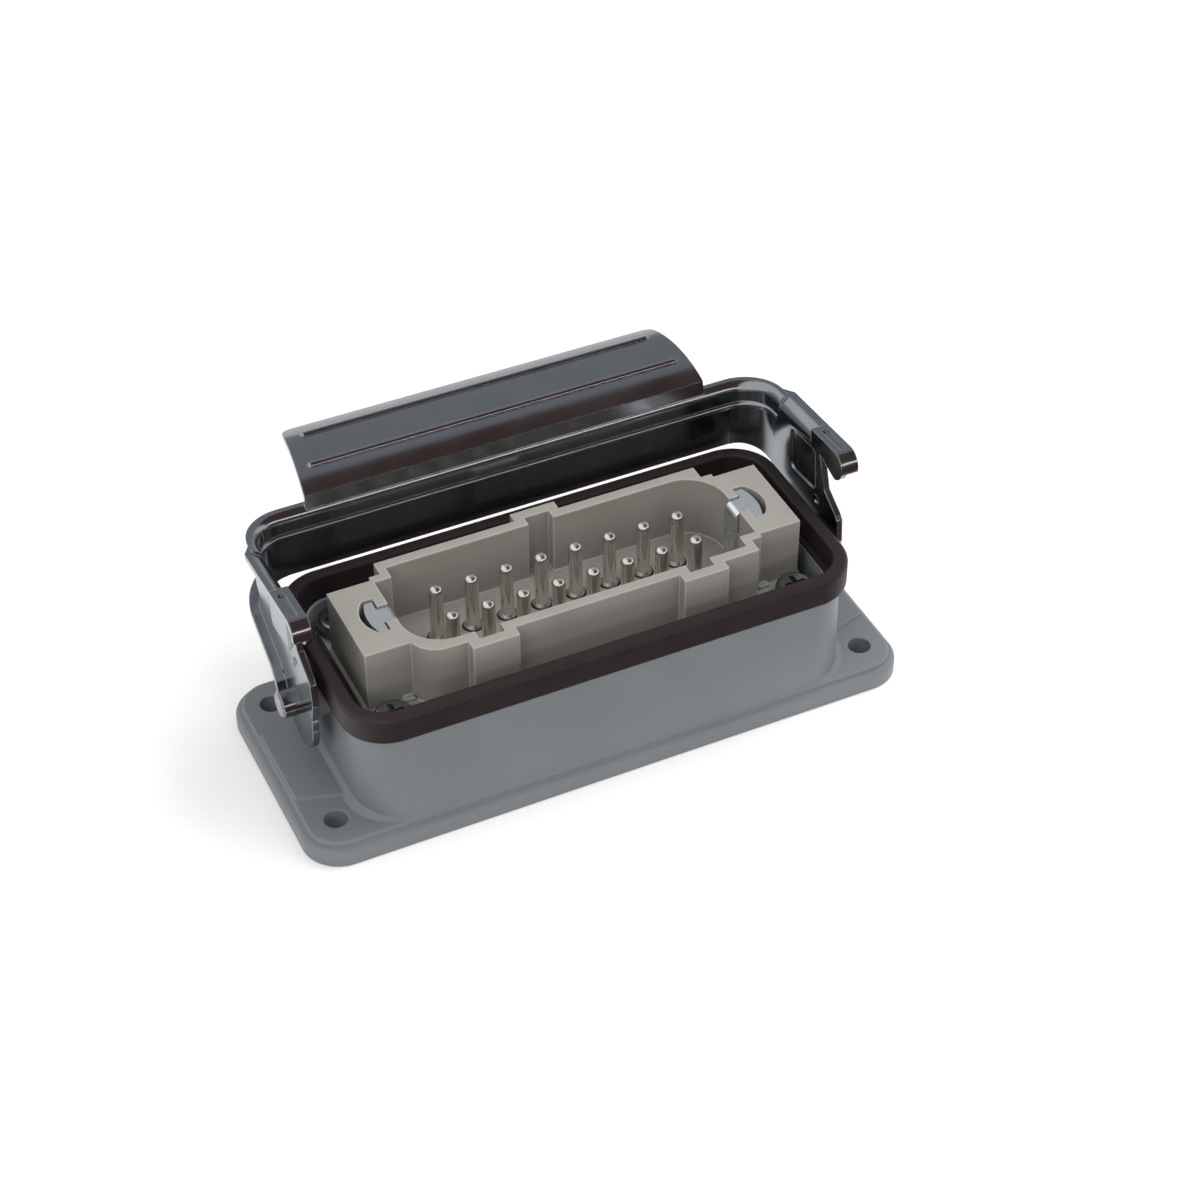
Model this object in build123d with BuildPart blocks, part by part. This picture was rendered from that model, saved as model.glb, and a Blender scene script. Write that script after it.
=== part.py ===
from build123d import *
from math import cos, radians, sin
import os

os.makedirs("parts", exist_ok=True)

# All lengths are in millimetres, all angles in degrees.
# X runs along the housing, Y to the lever's side, Z up from the panel face.
# The contact grid sets the insert, the insert sets the housing around it,
# and the housing sets the lever that swings over it.

# Contact grid of the insert
pin_pitch = 6.7
row_pitch = 7.5
pins_per_row = 8

# Heights above the panel face
brim_top = 3.3
pad_top = 4.5
field_top = 5.0
ledge_z = 17.0
pivot_z = 19.0
floor_z = 20.0
rim_z = 23.0
gasket_top = 28.0
insert_top = 32.5

# Insert: well round the pins, shroud, end blocks, screws, flange plate
well_end = 9.55
well_side = 7.25
end_lip = 0.4
shroud_wall = 1.9
end_block = 8.2
block_step = 4.0
head_d = 7.2
head_gap_x = 1.75
head_gap_y = 1.0
plate_margin = 3.5
well_length = (pins_per_row - 1) * pin_pitch + 2 * well_end
well_width = row_pitch + 2 * well_side
shroud_length = well_length + 2 * end_lip
shroud_width = well_width + 2 * shroud_wall
insert_length = shroud_length + 2 * end_block
block_width = shroud_width - 2 * block_step
screw_pitch_x = shroud_length + head_d + 2 * head_gap_x
screw_pitch_y = block_width + head_d + 2 * head_gap_y
plate_length = screw_pitch_x + 2 * plate_margin
plate_width = screw_pitch_y + 2 * plate_margin
screw_d = 4.0
screw_gap = 0.3

# Housing: the open well round the insert, the tub, the flange and its holes
plate_gap_x = 2.05
plate_gap_y = 1.3
wall_x = 2.9
wall_y = 3.3
cavity_length = plate_length + 2 * plate_gap_x
cavity_width = plate_width + 2 * plate_gap_y
cavity_corner_r = 6.2
tub_length = cavity_length + 2 * wall_x
tub_width = cavity_width + 2 * wall_y
tub_corner_r = 9.0
tub_taper = 1.2
panel_hole_d = 4.3
hole_offset_x = 4.3
hole_inset_y = 5.6
hole_pitch_x = tub_length + 2 * hole_offset_x
hole_pitch_y = tub_width - 2 * hole_inset_y
hole_margin_x = 6.5
step_inset = 1.2
side_ledge = 0.4
flange_length = hole_pitch_x + 2 * hole_margin_x
flange_width = tub_width + 2 * (step_inset + side_ledge)
flange_corner_r = 7.0

# Gaskets: widths of their grooves and how far they stand out
rim_inset = 0.4
rim_groove_w = 1.6
rim_groove_depth = 1.3
rim_groove_inset = 0.75
panel_groove_w = 2.4
panel_groove_depth = 1.6
panel_groove_gap = 1.4
tongue_gap = 0.3
gasket_overhang_x = 1.5
gasket_overhang_y = 0.1
gasket_face = 2.7
gasket_corner_r = 8.6
rim_length = tub_length - 2 * rim_inset
rim_width = tub_width - 2 * rim_inset
gasket_length = rim_length + 2 * gasket_overhang_x
gasket_width = rim_width + 2 * gasket_overhang_y
groove_corner_r = tub_corner_r - rim_inset - rim_groove_inset

# Lever: sheet, the inside of its arms and bar, the pegs it swings on
sheet = 1.2
arm_gap = 1.7
bar_gap = 0.4
arm_inner_x = gasket_length / 2 + arm_gap
bar_inner_y = gasket_width / 2 + bar_gap
pivot_d = 5.0
pivot_fit = 0.05
pin_reach = 3.6
pivot_end_x = arm_inner_x + sheet + pin_reach

# Housing, one casting

brim_edge_r = 1.0
platform_edge_r = 0.5
field_inner_y = 12.0
field_outer_y = 8.8
field_end_x = flange_length / 2 - step_inset - 0.6
foot_reach = 1.4
foot_height = 1.5
boss_d = 7.8
boss_face_x = arm_inner_x - 0.3
post_base = 5.0
post_gap = 1.4
post_corner_r = 2.2
post_root = 0.6
terminal_length = shroud_length - 0.8
terminal_width = shroud_width + 1.2
terminal_end_half = 8.2
post_inner_x = terminal_length / 2 + post_gap
post_inner_y = terminal_end_half + post_gap
post_end_x = cavity_length / 2 + post_root
post_end_y = cavity_width / 2 + post_root
screw_hole_floor = 2.0

with BuildPart() as housing:
    with BuildSketch():
        RectangleRounded(flange_length, flange_width, flange_corner_r)
    extrude(amount=brim_top)
    fillet(housing.faces().sort_by(Axis.Z)[-1].outer_wire().edges(), brim_edge_r)
    with BuildSketch(Plane.XY.offset(brim_top)):
        RectangleRounded(
            flange_length - 2 * step_inset,
            flange_width - 2 * step_inset,
            flange_corner_r - step_inset,
        )
    extrude(amount=pad_top - brim_top)
    fillet(housing.faces().sort_by(Axis.Z)[-1].outer_wire().edges(), platform_edge_r)
    # the two end fields stand a little above the screw pads
    with BuildSketch(Plane.XY.offset(pad_top)):
        for side in (-1, 1):
            with BuildLine():
                Polyline(
                    (side * (tub_length / 2 - 1), field_inner_y),
                    (side * field_end_x, field_outer_y),
                    (side * field_end_x, -field_outer_y),
                    (side * (tub_length / 2 - 1), -field_inner_y),
                    close=True,
                )
            make_face()
    extrude(amount=field_top - pad_top)
    # sloping foot of the tub, seen at its two ends
    with BuildSketch(Plane.XY.offset(pad_top)):
        RectangleRounded(
            tub_length + 2 * foot_reach, tub_width + side_ledge, tub_corner_r + foot_reach / 2
        )
    extrude(amount=foot_height, taper=45)
    with BuildSketch(Plane.XY.offset(pad_top)):
        RectangleRounded(tub_length, tub_width, tub_corner_r)
    extrude(amount=rim_z - pad_top, taper=tub_taper)
    # round bosses that carry the pivot pins
    for side in (-1, 1):
        boss_plane = Plane(origin=(side * cavity_length / 2, 0, pivot_z), z_dir=(side, 0, 0))
        with BuildSketch(boss_plane):
            Circle(boss_d / 2)
        extrude(amount=boss_face_x - cavity_length / 2)
    # open well from rim to panel face
    with BuildSketch():
        RectangleRounded(cavity_length, cavity_width, cavity_corner_r)
    extrude(amount=rim_z, mode=Mode.SUBTRACT)
    # corner posts that take the screws of the insert
    with BuildSketch(Plane.XY.offset(post_base)):
        with GridLocations(post_inner_x + post_end_x, post_inner_y + post_end_y, 2, 2):
            RectangleRounded(post_end_x - post_inner_x, post_end_y - post_inner_y, post_corner_r)
    extrude(amount=ledge_z - post_base)
    with BuildSketch(Plane.XY.offset(ledge_z)):
        with GridLocations(screw_pitch_x, screw_pitch_y, 2, 2):
            Circle(screw_d / 2 + screw_gap)
    extrude(amount=-(ledge_z - post_base - screw_hole_floor), mode=Mode.SUBTRACT)
    # grooves for the two gaskets
    with BuildSketch(Plane.XY.offset(rim_z)):
        RectangleRounded(
            rim_length - 2 * rim_groove_inset,
            rim_width - 2 * rim_groove_inset,
            groove_corner_r,
        )
        RectangleRounded(
            rim_length - 2 * rim_groove_inset - 2 * rim_groove_w,
            rim_width - 2 * rim_groove_inset - 2 * rim_groove_w,
            groove_corner_r - rim_groove_w,
            mode=Mode.SUBTRACT,
        )
    extrude(amount=-rim_groove_depth, mode=Mode.SUBTRACT)
    with BuildSketch():
        RectangleRounded(
            cavity_length + 2 * (panel_groove_gap + panel_groove_w),
            cavity_width + 2 * (panel_groove_gap + panel_groove_w),
            cavity_corner_r + panel_groove_gap + panel_groove_w,
        )
        RectangleRounded(
            cavity_length + 2 * panel_groove_gap,
            cavity_width + 2 * panel_groove_gap,
            cavity_corner_r + panel_groove_gap,
            mode=Mode.SUBTRACT,
        )
    extrude(amount=panel_groove_depth, mode=Mode.SUBTRACT)
    # four panel holes and the pivot bores
    with BuildSketch():
        with GridLocations(hole_pitch_x, hole_pitch_y, 2, 2):
            Circle(panel_hole_d / 2)
    extrude(amount=field_top, mode=Mode.SUBTRACT)
    with BuildSketch(Plane.YZ.offset(-pivot_end_x)):
        with Locations((0, pivot_z)):
            Circle(pivot_d / 2 + pivot_fit)
    extrude(amount=2 * pivot_end_x, mode=Mode.SUBTRACT)
housing.part.label = "housing"

# Rim gasket, one rubber frame with a tongue in the rim groove

gasket_edge_r = 0.9
gasket_inner_edge_r = 0.5

with BuildPart() as rim_gasket:
    with BuildSketch(Plane.XY.offset(rim_z)):
        RectangleRounded(gasket_length, gasket_width, gasket_corner_r)
        RectangleRounded(
            gasket_length - 2 * gasket_face,
            gasket_width - 2 * gasket_face,
            gasket_corner_r - gasket_face,
            mode=Mode.SUBTRACT,
        )
    extrude(amount=gasket_top - rim_z)
    fillet(rim_gasket.faces().sort_by(Axis.Z)[-1].outer_wire().edges(), gasket_edge_r)
    fillet(rim_gasket.faces().sort_by(Axis.Z)[-1].inner_wires()[0].edges(), gasket_inner_edge_r)
    with BuildSketch(Plane.XY.offset(rim_z)):
        RectangleRounded(
            rim_length - 2 * rim_groove_inset - 2 * tongue_gap,
            rim_width - 2 * rim_groove_inset - 2 * tongue_gap,
            groove_corner_r - tongue_gap,
        )
        RectangleRounded(
            rim_length - 2 * rim_groove_inset - 2 * rim_groove_w + 2 * tongue_gap,
            rim_width - 2 * rim_groove_inset - 2 * rim_groove_w + 2 * tongue_gap,
            groove_corner_r - rim_groove_w + tongue_gap,
            mode=Mode.SUBTRACT,
        )
    extrude(amount=-(rim_groove_depth - tongue_gap))
rim_gasket.part.label = "rim_gasket"

# Panel gasket, flush in the groove of the underside

with BuildPart() as panel_gasket:
    with BuildSketch():
        RectangleRounded(
            cavity_length + 2 * (panel_groove_gap + panel_groove_w - tongue_gap),
            cavity_width + 2 * (panel_groove_gap + panel_groove_w - tongue_gap),
            cavity_corner_r + panel_groove_gap + panel_groove_w - tongue_gap,
        )
        RectangleRounded(
            cavity_length + 2 * (panel_groove_gap + tongue_gap),
            cavity_width + 2 * (panel_groove_gap + tongue_gap),
            cavity_corner_r + panel_groove_gap + tongue_gap,
            mode=Mode.SUBTRACT,
        )
    extrude(amount=panel_groove_depth)
panel_gasket.part.label = "panel_gasket"

# Pivot pins, one steel pin in each end wall

pivot_inner_x = cavity_length / 2 + 0.1
pivot_chamfer = 0.4
for side, side_name in ((-1, "left"), (1, "right")):
    pin_plane = Plane(origin=(side * pivot_inner_x, 0, pivot_z), z_dir=(side, 0, 0))
    with BuildPart() as pivot_pin:
        with BuildSketch(pin_plane):
            Circle(pivot_d / 2)
        extrude(amount=pivot_end_x - pivot_inner_x)
        chamfer(pivot_pin.edges().filter_by(GeomType.CIRCLE), pivot_chamfer)
    pivot_pin.part.label = "pivot_pin_" + side_name
    export_step(pivot_pin.part, "parts/pivot_pin_" + side_name + ".step")

# Insert body, the upper moulding: shroud, end blocks and flange plate

key_x = 20.0
key_width = 8.6
key_depth = 2.1
step_length = 2.1
step_width = 3.1
inner_step_length = 3.2
inner_step_width = 2.8
outer_round_r = 5.5
inner_round_r = 7.5
plate_corner_r = 3.0
heel_length = 1.8
heel_width = 1.2
heel_height = 0.8
collar_d = 3.4
collar_gap = 0.3
clip_sheet = 0.8
clip_bend_r = 0.7
clip_gap = 0.3
clip_shoulder_x = well_length / 2 + 1.9
clip_head_x = well_length / 2 + 3.6
clip_head_bulge = 0.9
clip_head_half = 4.1
clip_stem_half = 1.9
slot_depth = 1.2
clip_top = insert_top - slot_depth + clip_sheet

with BuildPart() as insert_body:
    # shroud with three stepped corners and one big round corner, and its end blocks
    with BuildSketch(Plane.XY.offset(floor_z)) as shroud_outline:
        Rectangle(shroud_length, shroud_width)
        for corner_x, corner_y in ((-1, 1), (1, 1), (1, -1)):
            with Locations(
                (
                    corner_x * (shroud_length - step_length) / 2,
                    corner_y * (shroud_width - step_width) / 2,
                )
            ):
                Rectangle(step_length, step_width, mode=Mode.SUBTRACT)
        fillet(shroud_outline.vertices().sort_by(lambda v: v.X + v.Y)[0], outer_round_r)
        Rectangle(insert_length, block_width)
        # keys: two to the front, one to the back
        with Locations((-key_x, -shroud_width / 2), (key_x, -shroud_width / 2), (0, shroud_width / 2)):
            Rectangle(key_width, 2 * key_depth)
    extrude(amount=insert_top - floor_z)
    with BuildSketch(Plane.XY.offset(ledge_z)):
        RectangleRounded(plate_length, plate_width, plate_corner_r)
    extrude(amount=floor_z - ledge_z)
    # small heels in the corners between shroud and end blocks
    with BuildSketch(Plane.XY.offset(floor_z)):
        with GridLocations(shroud_length + heel_length, block_width + heel_width, 2, 2):
            Rectangle(heel_length, heel_width)
    extrude(amount=heel_height)
    # well round the contact pins
    with BuildSketch(Plane.XY.offset(floor_z)) as well:
        Rectangle(well_length, well_width)
        for turn in (-1, 1):
            with Locations(
                (
                    turn * (well_length - inner_step_length) / 2,
                    -turn * (well_width - inner_step_width) / 2,
                )
            ):
                Rectangle(inner_step_length, inner_step_width, mode=Mode.SUBTRACT)
        round_corners = well.vertices().sort_by(lambda v: v.X + v.Y)
        fillet([round_corners[0], round_corners[-1]], inner_round_r)
        with Locations((-key_x, -well_width / 2), (key_x, -well_width / 2), (0, well_width / 2)):
            Rectangle(key_width - 2 * shroud_wall, 2 * key_depth)
    extrude(amount=insert_top - floor_z, mode=Mode.SUBTRACT)
    # holes for the contact collars and for the fixing screws
    with BuildSketch(Plane.XY.offset(ledge_z)):
        with GridLocations(pin_pitch, row_pitch, pins_per_row, 2):
            Circle(collar_d / 2 + collar_gap)
        with GridLocations(screw_pitch_x, screw_pitch_y, 2, 2):
            Circle(screw_d / 2 + screw_gap)
    extrude(amount=floor_z - ledge_z, mode=Mode.SUBTRACT)
    # earth clip seats, one in each end block
    for side in (-1, 1):
        with BuildSketch(Plane.XY.offset(insert_top)):
            with BuildLine():
                Polyline(
                    (side * clip_shoulder_x, clip_head_half + clip_gap),
                    (side * (clip_head_x + clip_gap), clip_head_half + clip_gap),
                )
                ThreePointArc(
                    (side * (clip_head_x + clip_gap), clip_head_half + clip_gap),
                    (side * (clip_head_x + clip_head_bulge + 4 * clip_gap), 0),
                    (side * (clip_head_x + clip_gap), -clip_head_half - clip_gap),
                )
                Polyline(
                    (side * (clip_head_x + clip_gap), -clip_head_half - clip_gap),
                    (side * clip_shoulder_x, -clip_head_half - clip_gap),
                    (side * clip_shoulder_x, clip_head_half + clip_gap),
                )
            make_face()
            with Locations((side * (well_length / 2 + clip_shoulder_x) / 2, 0)):
                Rectangle(clip_shoulder_x - well_length / 2 + 1, 2 * clip_stem_half + clip_gap)
        extrude(amount=-slot_depth, mode=Mode.SUBTRACT)
        # room under the bend of the clip, and the slit that its leg passes
        with BuildSketch(Plane.XY.offset(insert_top - slot_depth)):
            with Locations((side * well_length / 2, 0)):
                Rectangle(2 * clip_bend_r, 2 * clip_stem_half + clip_gap)
        extrude(amount=-clip_bend_r, mode=Mode.SUBTRACT)
        with BuildSketch(Plane.XY.offset(ledge_z)):
            with Locations((side * (well_length / 2 - clip_sheet / 2), 0)):
                Rectangle(clip_sheet + 2 * clip_gap, 2 * clip_stem_half + 2 * clip_gap)
        extrude(amount=floor_z - ledge_z, mode=Mode.SUBTRACT)
insert_body.part.label = "insert_body"

# Terminal block, the lower moulding with a chamber for each wire clamp

terminal_base = 3.0
pocket_inner_y = row_pitch / 2 - 2.35
pocket_outer_y = row_pitch / 2 + 5.85
pocket_width = 4.6
terminal_screw_z = 9.0
terminal_screw_d = 3.0
terminal_head_d = 4.0
terminal_head_gap = 0.3
earth_screw_z = 9.0
earth_head_d = 6.6
earth_head_gap = 0.4
earth_seat_depth = 2.6
earth_chamber_length = 4.6
earth_chamber_half = 4.0
earth_chamber_top = 14.0
earth_chamber_x = well_length / 2 - clip_sheet - 0.3 + earth_chamber_length / 2
terminal_end_x = insert_length / 2

with BuildPart() as terminal_block:
    with BuildSketch(Plane.XY.offset(terminal_base)):
        Rectangle(terminal_length, terminal_width)
        Rectangle(2 * terminal_end_x, 2 * terminal_end_half)
    extrude(amount=ledge_z - terminal_base)
    # wire chambers, open to below and above, and the side channels of their screws
    with BuildSketch(Plane.XY.offset(terminal_base)):
        with GridLocations(pin_pitch, pocket_inner_y + pocket_outer_y, pins_per_row, 2):
            Rectangle(pocket_width, pocket_outer_y - pocket_inner_y)
    extrude(amount=ledge_z - terminal_base, mode=Mode.SUBTRACT)
    for row in (-1, 1):
        channel_plane = Plane(
            origin=(0, row * terminal_width / 2, terminal_screw_z), x_dir=(1, 0, 0), z_dir=(0, row, 0)
        )
        with BuildSketch(channel_plane):
            with GridLocations(pin_pitch, pin_pitch, pins_per_row, 1):
                Circle(terminal_head_d / 2 + terminal_head_gap)
        extrude(amount=pocket_outer_y - terminal_width / 2, mode=Mode.SUBTRACT)
    # earth chambers with the seats of their screws in the end faces
    for side in (-1, 1):
        with BuildSketch(Plane.XY.offset(terminal_base)):
            with Locations((side * earth_chamber_x, 0)):
                Rectangle(earth_chamber_length, 2 * earth_chamber_half)
        extrude(amount=earth_chamber_top - terminal_base, mode=Mode.SUBTRACT)
        with BuildSketch(Plane.XY.offset(earth_chamber_top)):
            with Locations((side * (well_length / 2 - clip_sheet / 2), 0)):
                Rectangle(clip_sheet + 2 * clip_gap, 2 * clip_stem_half + 2 * clip_gap)
        extrude(amount=ledge_z - earth_chamber_top, mode=Mode.SUBTRACT)
        end_plane = Plane(origin=(side * terminal_end_x, 0, earth_screw_z), z_dir=(side, 0, 0))
        with BuildSketch(end_plane):
            Circle(screw_d / 2 + screw_gap)
        extrude(amount=earth_chamber_x - terminal_end_x, mode=Mode.SUBTRACT)
        with BuildSketch(end_plane):
            Circle(earth_head_d / 2 + earth_head_gap)
        extrude(amount=-earth_seat_depth, mode=Mode.SUBTRACT)
terminal_block.part.label = "terminal_block"

# Contact pins, sixteen turned pieces with a wire clamp block behind

pin_d = 2.5
pin_tip_z = 31.5
pin_tip_r = 1.1
clamp_base = 5.0
clamp_gap = 0.1
clamp_width = pocket_width - 2 * clamp_gap
clamp_inner_y = pocket_inner_y + clamp_gap
clamp_outer_y = pocket_outer_y - clamp_gap
wire_bore_y = row_pitch / 2 + 3.05
wire_bore_d = 3.2
wire_bore_depth = 8.0
screw_bore_gap = 0.25
collar_top = floor_z + 0.3

pin_number = 0
for row in (1, -1):
    for column in range(pins_per_row):
        pin_number = pin_number + 1
        pin_x = (column - (pins_per_row - 1) / 2) * pin_pitch
        pin_y = row * row_pitch / 2
        clamp_y = row * (clamp_inner_y + clamp_outer_y) / 2
        with BuildPart() as contact_pin:
            with BuildSketch(Plane.XY.offset(clamp_base)):
                with Locations((pin_x, clamp_y)):
                    Rectangle(clamp_width, clamp_outer_y - clamp_inner_y)
            extrude(amount=ledge_z - clamp_base)
            with BuildSketch(Plane.XY.offset(ledge_z)):
                with Locations((pin_x, pin_y)):
                    Circle(collar_d / 2)
            extrude(amount=collar_top - ledge_z)
            with BuildSketch(Plane.XY.offset(collar_top)):
                with Locations((pin_x, pin_y)):
                    Circle(pin_d / 2)
            extrude(amount=pin_tip_z - collar_top)
            fillet(contact_pin.edges().sort_by(Axis.Z)[-1], pin_tip_r)
            # wire bore from below and the cross bore of its screw
            with BuildSketch(Plane.XY.offset(clamp_base)):
                with Locations((pin_x, row * wire_bore_y)):
                    Circle(wire_bore_d / 2)
            extrude(amount=wire_bore_depth, mode=Mode.SUBTRACT)
            bore_plane = Plane(
                origin=(pin_x, row * clamp_outer_y, terminal_screw_z), z_dir=(0, -row, 0)
            )
            with BuildSketch(bore_plane):
                Circle(terminal_screw_d / 2 + screw_bore_gap)
            extrude(amount=clamp_outer_y - wire_bore_y, mode=Mode.SUBTRACT)
        pin_label = "contact_pin_" + str(pin_number).zfill(2)
        contact_pin.part.label = pin_label
        export_step(contact_pin.part, "parts/" + pin_label + ".step")

# Terminal screws, one slotted screw for each contact pin

terminal_head_h = 1.8
terminal_shank = 2.6
terminal_slot_w = 0.7

with BuildPart() as terminal_screws:
    for row in (1, -1):
        for column in range(pins_per_row):
            screw_x = (column - (pins_per_row - 1) / 2) * pin_pitch
            head_plane = Plane(
                origin=(screw_x, row * clamp_outer_y, terminal_screw_z), z_dir=(0, row, 0)
            )
            with BuildSketch(head_plane):
                Circle(terminal_head_d / 2)
            extrude(amount=terminal_head_h)
            with BuildSketch(head_plane.offset(terminal_head_h)):
                Rectangle(terminal_head_d + 1, terminal_slot_w)
            extrude(amount=-terminal_head_h / 2, mode=Mode.SUBTRACT)
            with BuildSketch(head_plane):
                Circle(terminal_screw_d / 2)
            extrude(amount=-terminal_shank)
terminal_screws.part.label = "terminal_screws"

# Insert fixing screws, four pan heads on the flange plate of the insert

head_h = 2.6
head_edge_r = 1.1
cross_length = 4.0
cross_width = 0.9
cross_depth = 1.4
shank_in_post = 9.0

with BuildPart() as insert_screws:
    with BuildSketch(Plane.XY.offset(floor_z)):
        with GridLocations(screw_pitch_x, screw_pitch_y, 2, 2):
            Circle(head_d / 2)
    extrude(amount=head_h)
    fillet(insert_screws.edges().group_by(Axis.Z)[-1], head_edge_r)
    with BuildSketch(Plane.XY.offset(floor_z + head_h)):
        with GridLocations(screw_pitch_x, screw_pitch_y, 2, 2):
            Rectangle(cross_length, cross_width)
            Rectangle(cross_width, cross_length)
    extrude(amount=-cross_depth, mode=Mode.SUBTRACT)
    with BuildSketch(Plane.XY.offset(floor_z)):
        with GridLocations(screw_pitch_x, screw_pitch_y, 2, 2):
            Circle(screw_d / 2)
    extrude(amount=-(shank_in_post + floor_z - ledge_z))
insert_screws.part.label = "insert_screws"

# Earth clips, a T-shaped sheet at each end, bent over into the well

leg_end = 6.0
leg_outer_x = well_length / 2 - clip_sheet

for side, side_name in ((-1, "left"), (1, "right")):
    with BuildPart() as earth_clip:
        # leg and bend, drawn from the side
        with BuildSketch(Plane.XZ):
            with BuildLine():
                Polyline(
                    (side * (well_length / 2 + clip_bend_r), clip_top),
                    (side * (clip_shoulder_x + clip_gap), clip_top),
                    (side * (clip_shoulder_x + clip_gap), clip_top - clip_sheet),
                    (side * (well_length / 2 + clip_bend_r), clip_top - clip_sheet),
                )
                CenterArc(
                    (side * (well_length / 2 + clip_bend_r), clip_top - clip_sheet - clip_bend_r),
                    clip_bend_r,
                    90,
                    -side * -90,
                )
                Polyline(
                    (side * well_length / 2, clip_top - clip_sheet - clip_bend_r),
                    (side * well_length / 2, leg_end),
                    (side * leg_outer_x, leg_end),
                    (side * leg_outer_x, clip_top - clip_sheet - clip_bend_r),
                )
                CenterArc(
                    (side * (well_length / 2 + clip_bend_r), clip_top - clip_sheet - clip_bend_r),
                    clip_bend_r + clip_sheet,
                    90,
                    -side * -90,
                )
            make_face()
        extrude(amount=clip_stem_half, both=True)
        # head, drawn from above
        with BuildSketch(Plane.XY.offset(clip_top - clip_sheet)):
            with BuildLine():
                Polyline(
                    (side * (clip_shoulder_x + clip_gap), clip_head_half),
                    (side * clip_head_x, clip_head_half),
                )
                ThreePointArc(
                    (side * clip_head_x, clip_head_half),
                    (side * (clip_head_x + clip_head_bulge), 0),
                    (side * clip_head_x, -clip_head_half),
                )
                Polyline(
                    (side * clip_head_x, -clip_head_half),
                    (side * (clip_shoulder_x + clip_gap), -clip_head_half),
                    (side * (clip_shoulder_x + clip_gap), clip_head_half),
                )
            make_face()
        extrude(amount=clip_sheet)
    earth_clip.part.label = "earth_clip_" + side_name
    export_step(earth_clip.part, "parts/earth_clip_" + side_name + ".step")

# Earth terminal screws, one at each end of the terminal block

earth_head_h = 2.2
earth_slot_w = 1.0
earth_shank = 5.0

with BuildPart() as earth_screws:
    for side in (-1, 1):
        seat_plane = Plane(
            origin=(side * (terminal_end_x - earth_seat_depth), 0, earth_screw_z), z_dir=(side, 0, 0)
        )
        with BuildSketch(seat_plane):
            Circle(earth_head_d / 2)
        extrude(amount=earth_head_h)
        with BuildSketch(seat_plane.offset(earth_head_h)):
            Rectangle(earth_head_d + 1, earth_slot_w)
        extrude(amount=-earth_head_h / 2, mode=Mode.SUBTRACT)
        with BuildSketch(seat_plane):
            Circle(screw_d / 2)
        extrude(amount=-earth_shank)
earth_screws.part.label = "earth_screws"

# Lever, one bent sheet: two hooked arms, a cross bar and a curved handle.
# Drawn square to its own arms round the pivot, then tilted to its resting place.
# In its sketches the first number runs along Y and the second up, both from the pivot.

lever_tilt = 5.0
bar_height = 13.0
rim_top_w = 23.0
bar_low = rim_top_w - bar_height
corner_in_r = 6.0
arm_flare = 3.4
bar_flare = 2.0
arm_outer_x = arm_inner_x + sheet
bar_outer_y = bar_inner_y + sheet
straight_x = arm_inner_x - corner_in_r
bend_v = bar_inner_y - corner_in_r
flare_end_v = bend_v - 2.2
flare_stub = 0.5
finger_root_v = 1.4
nose_v = -7.4
nose_front_v = -9.8
nose_height = 3.8
stem_top_w = rim_top_w - 3.6
hub_r = 6.8
hub_drop = 3.0
hub_back_r = 6.5
foot_w = bar_low - 3.1
lip_reach = 1.8
toe_v = -8.4
toe_low_w = 4.0
toe_top_w = 8.6
mouth_low_w = 12.6
mouth_v = -3.6
stem_v = -2.6
stem_top_v = -1.9
stem_bend = 2.4
heel_v = 8.9
heel_w = 2.0
heel_end_v = 7.2
heel_end_w = -0.6
lip_bend_v = 8.0
lip_bend_w = 2.7
lip_end_v = 6.2
panel_depth = 0.4
panel_length = 9.4
panel_height = 8.8
panel_v = 4.3
panel_w = rim_top_w - 8.2
panel_corner_r = 1.4
dimple_v = -0.6
dimple_w = panel_w - 6.0
dimple_r = 0.95
groove_w = 1.2
groove_depth = 0.5
groove_length = 7.4
clear_size = 200.0
crease_w = rim_top_w - 4.7
crease_r = 0.65
crease_sunk = 0.2
crease_end_v = bend_v - 1.7
handle_axis_v = bar_inner_y + 12.3
handle_r = 20.5
handle_rise = 5.5
handle_axis_w = rim_top_w + handle_rise - handle_r
handle_under_r = handle_r - sheet
handle_half = 39.0
handle_narrowing = 2.2
handle_corner_r = 2.2
handle_reach = 18.5
handle_end_v = bar_inner_y + handle_reach
handle_root_inset = bar_flare / 3
bead_r = 0.66
bead_sunk = 0.11
front_bead_angle = -18.5
front_bead_inset = 3.4
back_bead_angle = 5.0
back_bead_inset = 5.2

# lip turned outward along the sloping lower edge of both corners
with BuildPart() as corner_lip:
    with BuildSketch(Plane.XY.offset(foot_w - sheet)):
        RectangleRounded(
            2 * (arm_outer_x + lip_reach),
            2 * (bar_outer_y + lip_reach),
            corner_in_r + sheet + lip_reach,
        )
        RectangleRounded(2 * arm_inner_x + sheet, 2 * bar_inner_y + sheet, corner_in_r, mode=Mode.SUBTRACT)
        with Locations((0, bend_v - clear_size / 2)):
            Rectangle(clear_size, clear_size, mode=Mode.SUBTRACT)
        Rectangle(2 * straight_x + corner_in_r, clear_size, mode=Mode.SUBTRACT)
    extrude(amount=bar_low - foot_w + 2 * sheet)
    with BuildSketch(Plane.YZ):
        with BuildLine():
            Polyline(
                (bend_v, foot_w),
                (bar_outer_y + lip_reach, bar_low + 0.6),
                (bar_outer_y + lip_reach, bar_low + 0.6 + sheet),
                (bend_v, foot_w + sheet),
                close=True,
            )
        make_face()
    extrude(amount=clear_size / 2, both=True, mode=Mode.INTERSECT)

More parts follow.
